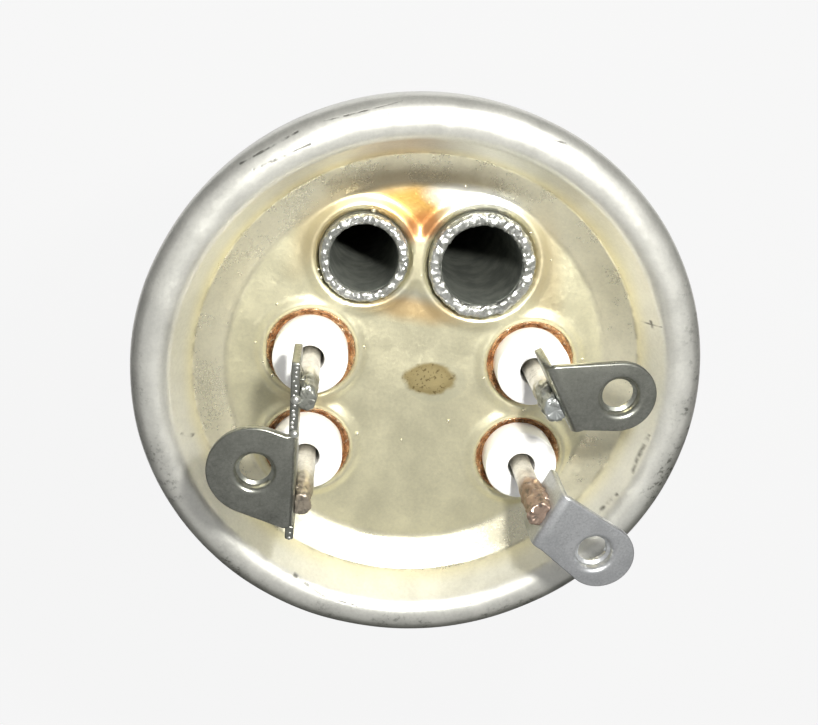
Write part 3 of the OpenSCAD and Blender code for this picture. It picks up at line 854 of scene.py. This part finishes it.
# %% Sizes of the terminals
TAB_T = 0.9
FLAG_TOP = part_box("bridge_terminal")[1].z / MM
LEG_H = FLAG_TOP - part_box("bridge_terminal")[0].z / MM
LEG_FACE = 0.66
BEND_R = 1.15
HOLE_R = 2.6
COLLAR_R, COLLAR_H = 2.5, 1.4
BORE_ROOT, BORE_CREST, PITCH = 1.98, 1.67, 0.7
BEND_RUN = (BEND_R - TAB_T / 2) * math.pi / 2
LEG_RUN = LEG_H - BEND_R
FLAT_START = LEG_RUN + BEND_RUN
print("flag top:", round(FLAG_TOP, 2), "leg height:", round(LEG_H, 2))


# %% Blank outline and bend
def touch(point, centre, r, side):
    gap = Vector(point) - Vector(centre)
    angle = math.atan2(gap.y, gap.x) + side * math.acos(r / gap.length)
    return Vector(centre) + r * Vector((math.cos(angle), math.sin(angle)))


def round_end(low_v, high_v, centre, r):
    """Points along the flag's tip, from the lower tangent point to the upper one."""
    a = touch((FLAT_START, low_v), centre, r, 1) - Vector(centre)
    b = touch((FLAT_START, high_v), centre, r, -1) - Vector(centre)
    start, end = math.atan2(a.y, a.x), math.atan2(b.y, b.x)
    angles = [start + (end - start) * k / 28 for k in range(29)]
    return [Vector(centre) + r * Vector((math.cos(angle), math.sin(angle))) for angle in angles]


def bend_up(s, t, straight=False):
    """Where a point of the flat blank ends up: s along the blank, t from its inner face, in mm."""
    low = FLAG_TOP - LEG_H
    if s < LEG_RUN or straight:
        return LEG_FACE + TAB_T - t, low + s
    middle_x, middle_z = LEG_FACE + BEND_R, FLAG_TOP - BEND_R
    if s < FLAT_START:
        angle = (s - LEG_RUN) / BEND_RUN * math.pi / 2
        r = BEND_R - TAB_T + t
        return middle_x - r * math.cos(angle), middle_z + r * math.sin(angle)
    return middle_x + s - FLAT_START, FLAG_TOP - TAB_T + t


def collar_section():
    return rounded([
        (HOLE_R, TAB_T, 0), (BORE_ROOT + 0.02, TAB_T, 0.6), (BORE_ROOT, -COLLAR_H, 0.12),
        (COLLAR_R, -COLLAR_H, 0.2), (COLLAR_R, 0, 0.05), (HOLE_R, 0, 0),
    ], closed=False, fine=0.1)


def blank(outline, hole):
    """The flat sheet with its hole's edge left open, rounded along the sheared outline."""
    bm = bmesh.new()
    rim = [bm.verts.new((p[0] * MM, p[1] * MM, 0)) for p in outline]
    edges = [bm.edges.new((a, b)) for a, b in zip(rim, rim[1:] + rim[:1])]
    centre = Vector(hole or (1000, 0)) * MM
    if hole:
        circle = bmesh.ops.create_circle(bm, segments=72, radius=HOLE_R * MM, cap_ends=False)["verts"]
        bmesh.ops.translate(bm, verts=circle, vec=(centre.x, centre.y, 0))
        edges += list({e for v in circle for e in v.link_edges})
    bmesh.ops.triangle_fill(bm, use_beauty=True, use_dissolve=False, edges=edges, normal=(0, 0, 1))
    bmesh.ops.dissolve_limit(bm, angle_limit=0.01, verts=bm.verts,
                             edges=[e for e in bm.edges if len(e.link_faces) == 2])
    top = bmesh.ops.extrude_face_region(bm, geom=list(bm.faces))
    raised = [g for g in top["geom"] if isinstance(g, bmesh.types.BMVert)]
    bmesh.ops.translate(bm, verts=raised, vec=(0, 0, TAB_T * MM))
    bmesh.ops.recalc_face_normals(bm, faces=bm.faces)

    def at_hole(item):
        return all((v.co.xy - centre).length < (HOLE_R + 0.01) * MM for v in item.verts)

    bmesh.ops.delete(bm, geom=[f for f in bm.faces if at_hole(f)], context="FACES_ONLY")
    shear = [e for e in bm.edges if len(e.link_faces) == 2 and e.calc_face_angle() > 1.0 and not at_hole(e)]
    bmesh.ops.bevel(bm, geom=shear, offset=0.2 * MM, offset_type="OFFSET", segments=3, profile=0.5,
                    affect="EDGES", material=-1, clamp_overlap=True)
    return bm


def slice_across(bm, places):
    for at in places:
        geom = list(bm.verts) + list(bm.edges) + list(bm.faces)
        bmesh.ops.bisect_plane(bm, geom=geom, dist=1e-7, plane_co=(at * MM, 0, 0), plane_no=(1, 0, 0))


def terminal(name, outline, hole, place, finish, replaces):
    """outline and hole are in the flat blank (along, across); place turns and moves the bent part."""
    bm = blank(outline, hole)
    slice_across(bm, [LEG_RUN + BEND_RUN * k / 8 for k in range(9)])
    for v in bm.verts:
        x, z = bend_up(v.co.x / MM, v.co.z / MM, straight=hole is None)
        v.co.x, v.co.z = x * MM, z * MM
    if hole:
        shift = Vector((LEG_FACE + BEND_R + hole[0] - FLAT_START, hole[1], FLAG_TOP - TAB_T)) * MM
        collar = spin_section(collar_section(), steps=72, closed=False)
        bmesh.ops.translate(collar, verts=collar.verts, vec=shift)
        bm.from_mesh(mesh_from(collar, "collar"))
        bmesh.ops.remove_doubles(bm, verts=bm.verts, dist=2e-6)
        screw_thread(name + "_thread", place @ Matrix.Translation(shift), finish)
    bmesh.ops.transform(bm, matrix=place, verts=bm.verts)
    bmesh.ops.recalc_face_normals(bm, faces=bm.faces)
    make_piece(bm, name, finish, replaces, sharp=35)


def screw_thread(name, place, finish):
    """The ridge that the tap left: a small triangle wound up the bore."""
    bm = bmesh.new()
    in_wall = BORE_ROOT + 0.06
    profile = (in_wall, -1.36), (BORE_CREST, -1.1), (BORE_CREST, -1.02), (in_wall, -0.76)
    ridge = [bm.verts.new((r * MM, 0, z * MM)) for r, z in profile]
    face = bm.faces.new(ridge)
    turns, per_turn = 1.6, 48
    steps = round(turns * per_turn)
    geom = ridge + list(face.edges) + [face]
    bmesh.ops.spin(bm, geom=geom, axis=(0, 0, 1), cent=(0, 0, 0), angle=2 * math.pi * turns, steps=steps,
                   dvec=(0, 0, PITCH / per_turn * MM), use_merge=False)
    bmesh.ops.transform(bm, matrix=place, verts=bm.verts)
    bmesh.ops.recalc_face_normals(bm, faces=bm.faces)
    make_piece(bm, name, finish, sharp=30)


def leg_place(side, turned_by, flip=False):
    move = Matrix.Translation(Vector((*LEGS[side], 0)) * MM)
    mirror = Matrix.Diagonal((-1 if flip else 1, 1, 1, 1))
    return move @ Matrix.Rotation(math.radians(turned_by), 4, "Z") @ mirror


# %% Right-hand tabs
FLAT_SHIFT = FLAT_START - LEG_FACE - BEND_R
TABS = [
    ("upper_right", 29.4, (-2.9, 5.0), (6.6, -1.1), (6.6, -1.1), terminal_painted_dark_reflection),
    ("lower_right", -22.5, (-3.4, 3.4), (7.5, -1.3), (8.3, -1.4), terminal_pale),
]
for side, turned_by, (low_v, high_v), hole, tip, finish in TABS:
    tip_centre = (tip[0] + FLAT_SHIFT, tip[1])
    outline = [Vector((0, high_v)), Vector((0, low_v)), Vector((FLAT_START, low_v))]
    outline += round_end(low_v, high_v, tip_centre, 3.8) + [Vector((FLAT_START, high_v))]
    hole_at = (hole[0] + FLAT_SHIFT, hole[1])
    terminal("terminal_" + side, outline, hole_at, leg_place(side, turned_by), finish, ["tab_" + side])

# %% The common bridge on the left
STRIP = (-4.0, 16.2)
FLAG_V = (-2.4, 8.3)
STRIP_TOP = LEG_H - 0.5
bridge_at = leg_place("lower_left", 0, flip=True)
hole_u, hole_v = 4.9, 4.1
tip_centre = (hole_u + FLAT_SHIFT, hole_v)
tongue = [Vector((LEG_RUN - 1.2, FLAG_V[1])), Vector((LEG_RUN - 1.2, FLAG_V[0])),
          Vector((FLAT_START, FLAG_V[0]))]
tongue += round_end(*FLAG_V, tip_centre, 5.0) + [Vector((FLAT_START, FLAG_V[1]))]
terminal("bridge_flag", tongue, tip_centre, bridge_at, terminal_painted_dark_reflection, ["bridge_terminal"])
strip = [Vector(p) for p in (
    (0, STRIP[1]), (0, STRIP[0]), (STRIP_TOP, STRIP[0]), (STRIP_TOP, FLAG_V[0]), (LEG_RUN + 0.05, FLAG_V[0]),
    (LEG_RUN + 0.05, FLAG_V[1]), (STRIP_TOP, FLAG_V[1]), (STRIP_TOP, STRIP[1]),
)]
terminal("bridge_strip", strip, None, bridge_at, terminal_painted_dark_reflection, ["bridge_terminal"])

# %% [markdown]
# ## Sheared edge and weld drops on the bridge
# The bridge strip was cut with a toothed shear and spot-welded to both pins, which left a row of small bright
# teeth along its top edge and two larger frozen drops. Small balls half sunk in the edge give both.


# %% Drops of frozen metal
def drop(bm, at, size, flat=1.0, fine=2):
    ball = bmesh.ops.create_icosphere(bm, subdivisions=fine, radius=size * MM)
    bmesh.ops.scale(bm, vec=(1, 1, flat), verts=ball["verts"])
    bmesh.ops.translate(bm, verts=ball["verts"], vec=Vector(at) * MM)


random.seed(7)
edge_x = LEGS["lower_left"][0] - LEG_FACE - TAB_T / 2
edge_y = LEGS["lower_left"][1]
edge_z = FLAG_TOP - 0.5
bm = bmesh.new()
for stretch in ((FLAG_V[1] + 0.3, STRIP[1] - 0.2), (STRIP[0] + 0.2, FLAG_V[0] - 0.2)):
    across = stretch[0]
    while across < stretch[1]:
        drop(bm, (edge_x + random.uniform(-0.16, 0.16), edge_y + across, edge_z - 0.12),
             random.uniform(0.2, 0.3), 0.9)
        across += random.uniform(0.42, 0.62)
for across, size in ((12.2, 0.52), (8.4, 0.5)):
    drop(bm, (edge_x + 0.12, edge_y + across, edge_z - 0.08), size, 0.9, 3)
make_piece(bm, "bridge_edge_teeth", weld_silver, sharp=80)

# %% [markdown]
# ## Pins
# A pin is a round wire. Where it was spot-welded, the electrode squeezed it flat against the leg, widened
# it and
# left a dent and a rough, burnt skin. The round is sliced into many rings first, so those moves have
# points to act on.


# %% Pins
def pin(side, leg_angle, rough, dent_z, dent, seed):
    part = "pin_" + side
    low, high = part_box(part)
    foot, top = low.z / MM, high.z / MM
    r = 1.2
    rings = [(r, -3.0 + 0.3 * k, 0) for k in range(48)]
    section = rounded([(0, foot, 0), (r, foot, 0.2)] + rings + [(r, top, 0.4), (0, top, 0)], closed=False,
                      fine=0.12)
    bm = spin_section(section, steps=48, closed=False)
    face = Vector((math.cos(math.radians(leg_angle)), math.sin(math.radians(leg_angle)), 0))
    beside = Vector((-face.y, face.x, 0))
    for v in bm.verts:
        z = v.co.z / MM
        squeeze = share_of((z - 4.6) / 1.8)
        u, w = v.co.dot(face) / MM, v.co.dot(beside) / MM
        w *= 1 + 0.16 * squeeze
        if squeeze > 0:
            u = min(u, r + (0.64 - r) * squeeze)
        if u < 0:
            u += dent * math.exp(-((z - dent_z) / 0.9) ** 2 - (w / 1.0) ** 2)
        v.co = (face * u + beside * w) * MM + Vector((0, 0, v.co.z))
    for amount, scale, start in ((rough, 1.4, seed), (rough * 0.5, 4.0, seed + 4)):
        ruffle(bm, amount, scale, lambda p: share_of((p.z - 5.0) / 3.0), start)
    for v in bm.verts:
        u = v.co.dot(face)
        if u > 0.65 * MM and v.co.z > 6.4 * MM:
            v.co -= face * (u - 0.65 * MM)
        v.co.z = min(v.co.z, FLAG_TOP * MM)
    bmesh.ops.translate(bm, verts=bm.verts, vec=(LEGS[side][0] * MM, LEGS[side][1] * MM, 0))
    make_piece(bm, "cold_" + part, pin_finish[part], [part], sharp=50)


pin("upper_left", 180, 0.20, 9.4, 0.45, 1.0)
pin("lower_left", 180, 0.18, 10.4, 0.5, 4.0)
pin("upper_right", 29.4, 0.30, 9.6, 0.3, 7.0)
pin("lower_right", -22.5, 0.36, 8.2, 0.35, 9.0)

# %% Weld nuggets between pins and legs
# Side, angle of the leg, then (outwards, across, height, size) in mm for each lump
NUGGETS = {
    "upper_left": (180, [(0.5, 1.0, 8.6, 0.42), (0.45, -1.05, 9.6, 0.38), (0.5, 1.05, 10.6, 0.36)]),
    "lower_left": (180, [(0.5, -1.05, 10.2, 0.42), (0.5, 1.0, 9.4, 0.36), (0.2, -0.9, 11.4, 0.4)]),
    "upper_right": (29.4,
                    [(0.4, 1.15, 8.8, 0.5), (0.4, -1.15, 8.4, 0.48), (0.3, -1.1, 10.4, 0.5),
                     (0.5, 1.1, 10.9, 0.4)]),
    "lower_right": (-22.5,
                    [(0.45, 1.1, 8.2, 0.46), (0.5, 1.15, 9.6, 0.5), (0.45, 1.0, 10.9, 0.42),
                     (0.45, -1.1, 9.2, 0.42)]),
}
for side, (angle, lumps) in NUGGETS.items():
    bm = bmesh.new()
    for u, w, z, size in lumps:
        direction = Matrix.Rotation(math.radians(angle), 3, "Z") @ Vector((u, w, 0))
        drop(bm, (LEGS[side][0] + direction.x, LEGS[side][1] + direction.y, z), size, 1.3, 3)
    ruffle(bm, 0.12, 2.6, None, angle)
    make_piece(bm, "nugget_" + side, pin_finish["pin_" + side], sharp=60)

# %% [markdown]
# ## Spatter on the recess
# Welding threw fine drops that froze on the floor near the lips. They are placed where the photograph
# shows them,
# and each is sunk into the sheet's own height so that it stands on it from every side.

# %% Spatter
SPATTER = [
    (-6.37, 2.86, 0.20), (7.93, -0.15, 0.18), (4.35, -6.11, 0.22), (-6.53, -8.23, 0.26),
    (-6.37, 18.77, 0.30), (3.52, 22.14, 0.16), (-12.08, 11.74, 0.16), (-11.77, 10.78, 0.24),
    (14.15, 14.5, 0.14), (11.33, 17.5, 0.16), (-16.81, -1.25, 0.26), (19.48, 2.8, 0.2),
    (13.23, -3.94, 0.22), (-1.1, -8.9, 0.12), (-16.6, 7.3, 0.16), (-18.9, 2.6, 0.15),
    (-17.9, 0.4, 0.12), (15.9, -17.2, 0.14),
]
bm = bmesh.new()
for x, y, size in SPATTER:
    drop(bm, (x, y, recess_height(x, y) + 0.02), size, 0.8)
make_piece(bm, "weld_spatter", spatter_steel, sharp=80)

# %% [markdown]
# ## Stage and light
# The element stands on its loops on a pale floor. The photograph's light is a small lamp close beside the
# lens, at
# the upper right, which gives the crisp shadows of the flags and the bright inner side of the bead.
# A wide soft lamp and a pale world fill the rest, and a dark band round the flange, seen only in reflections,
# is the dim room that the bead's outer side mirrors.

# %% Floor
floor_material, tree, shader, place = new_material("pale_floor")
shader.inputs["Base Color"].default_value = rgb(0.82, 0.82, 0.82)
shader.inputs["Roughness"].default_value = 0.9
glow = node(tree, "ShaderNodeEmission", {"Color": rgb(1, 1, 1), "Strength": 1.0})
ray = node(tree, "ShaderNodeLightPath").outputs
seen = calc(tree, "MAXIMUM", ray["Is Camera Ray"],
            calc(tree, "MAXIMUM", ray["Is Glossy Ray"], ray["Is Transmission Ray"]))
mixed = node(tree, "ShaderNodeMixShader",
             {0: calc(tree, "MULTIPLY", seen, 0.85), 1: shader.outputs[0], 2: glow.outputs[0]})
tree.links.new(mixed.outputs[0], tree.nodes["Material Output"].inputs["Surface"])
bm = bmesh.new()
bmesh.ops.create_grid(bm, x_segments=2, y_segments=2, size=3.0)
bmesh.ops.translate(bm, verts=bm.verts, vec=(0, 0, cad_box[0][2] - 0.2 * MM))
floor = link("floor", mesh_from(bm, "floor"))
floor.data.materials.append(floor_material)

# %% Dark band seen in reflections
band_material, tree, shader, place = new_material("dim_room")
finish_shader(tree, shader, rgb(0.03, 0.03, 0.03), 1.0, 0.0)
bm = spin_section([Vector(p) for p in ((120, -70), (121, -70), (121, 45), (120, 45))], steps=64)
band = link("dim_room", mesh_from(bm, "dim_room"))
band.data.materials.append(band_material)
band.visible_camera = band.visible_diffuse = band.visible_shadow = band.visible_transmission = False


# %% Lamps and world
def lamp(name, at, aim, size, power, tone):
    data = bpy.data.lights.new(name, "AREA")
    data.shape, data.size, data.energy, data.color = "DISK", size, power, tone
    obj = link(name, data)
    obj.location = Vector(at)
    obj.rotation_euler = (Vector(aim) - obj.location).to_track_quat("-Z", "Y").to_euler()
    obj.visible_camera = False


lamp("near_lamp", (0.0083, 0.0465, 0.0769), (0, 0, 0), 0.008, 0.14, (1.0, 0.99, 0.95))
lamp("soft_lamp", (0.25, 0.55, 0.60), (0, 0, -0.05), 0.5, 1.5, (1.0, 1.0, 1.0))
world = bpy.data.worlds.new("pale_world")
bpy.context.scene.world = world
world.use_nodes = True
tree = world.node_tree
background = tree.nodes["Background"]
ray = node(tree, "ShaderNodeLightPath").outputs
up = node(tree, "ShaderNodeSeparateXYZ",
          {0: node(tree, "ShaderNodeTexCoord").outputs["Generated"]}).outputs["Z"]
sky = ramp(tree, up, 0.15, 0.6, 0.9, 0.42)
tree.links.new(calc(tree, "MAXIMUM", sky, ray["Is Camera Ray"]), background.inputs["Strength"])
background.inputs["Color"].default_value = rgb(0.93, 0.93, 0.93)
bpy.context.scene.view_settings.view_transform = "Standard"
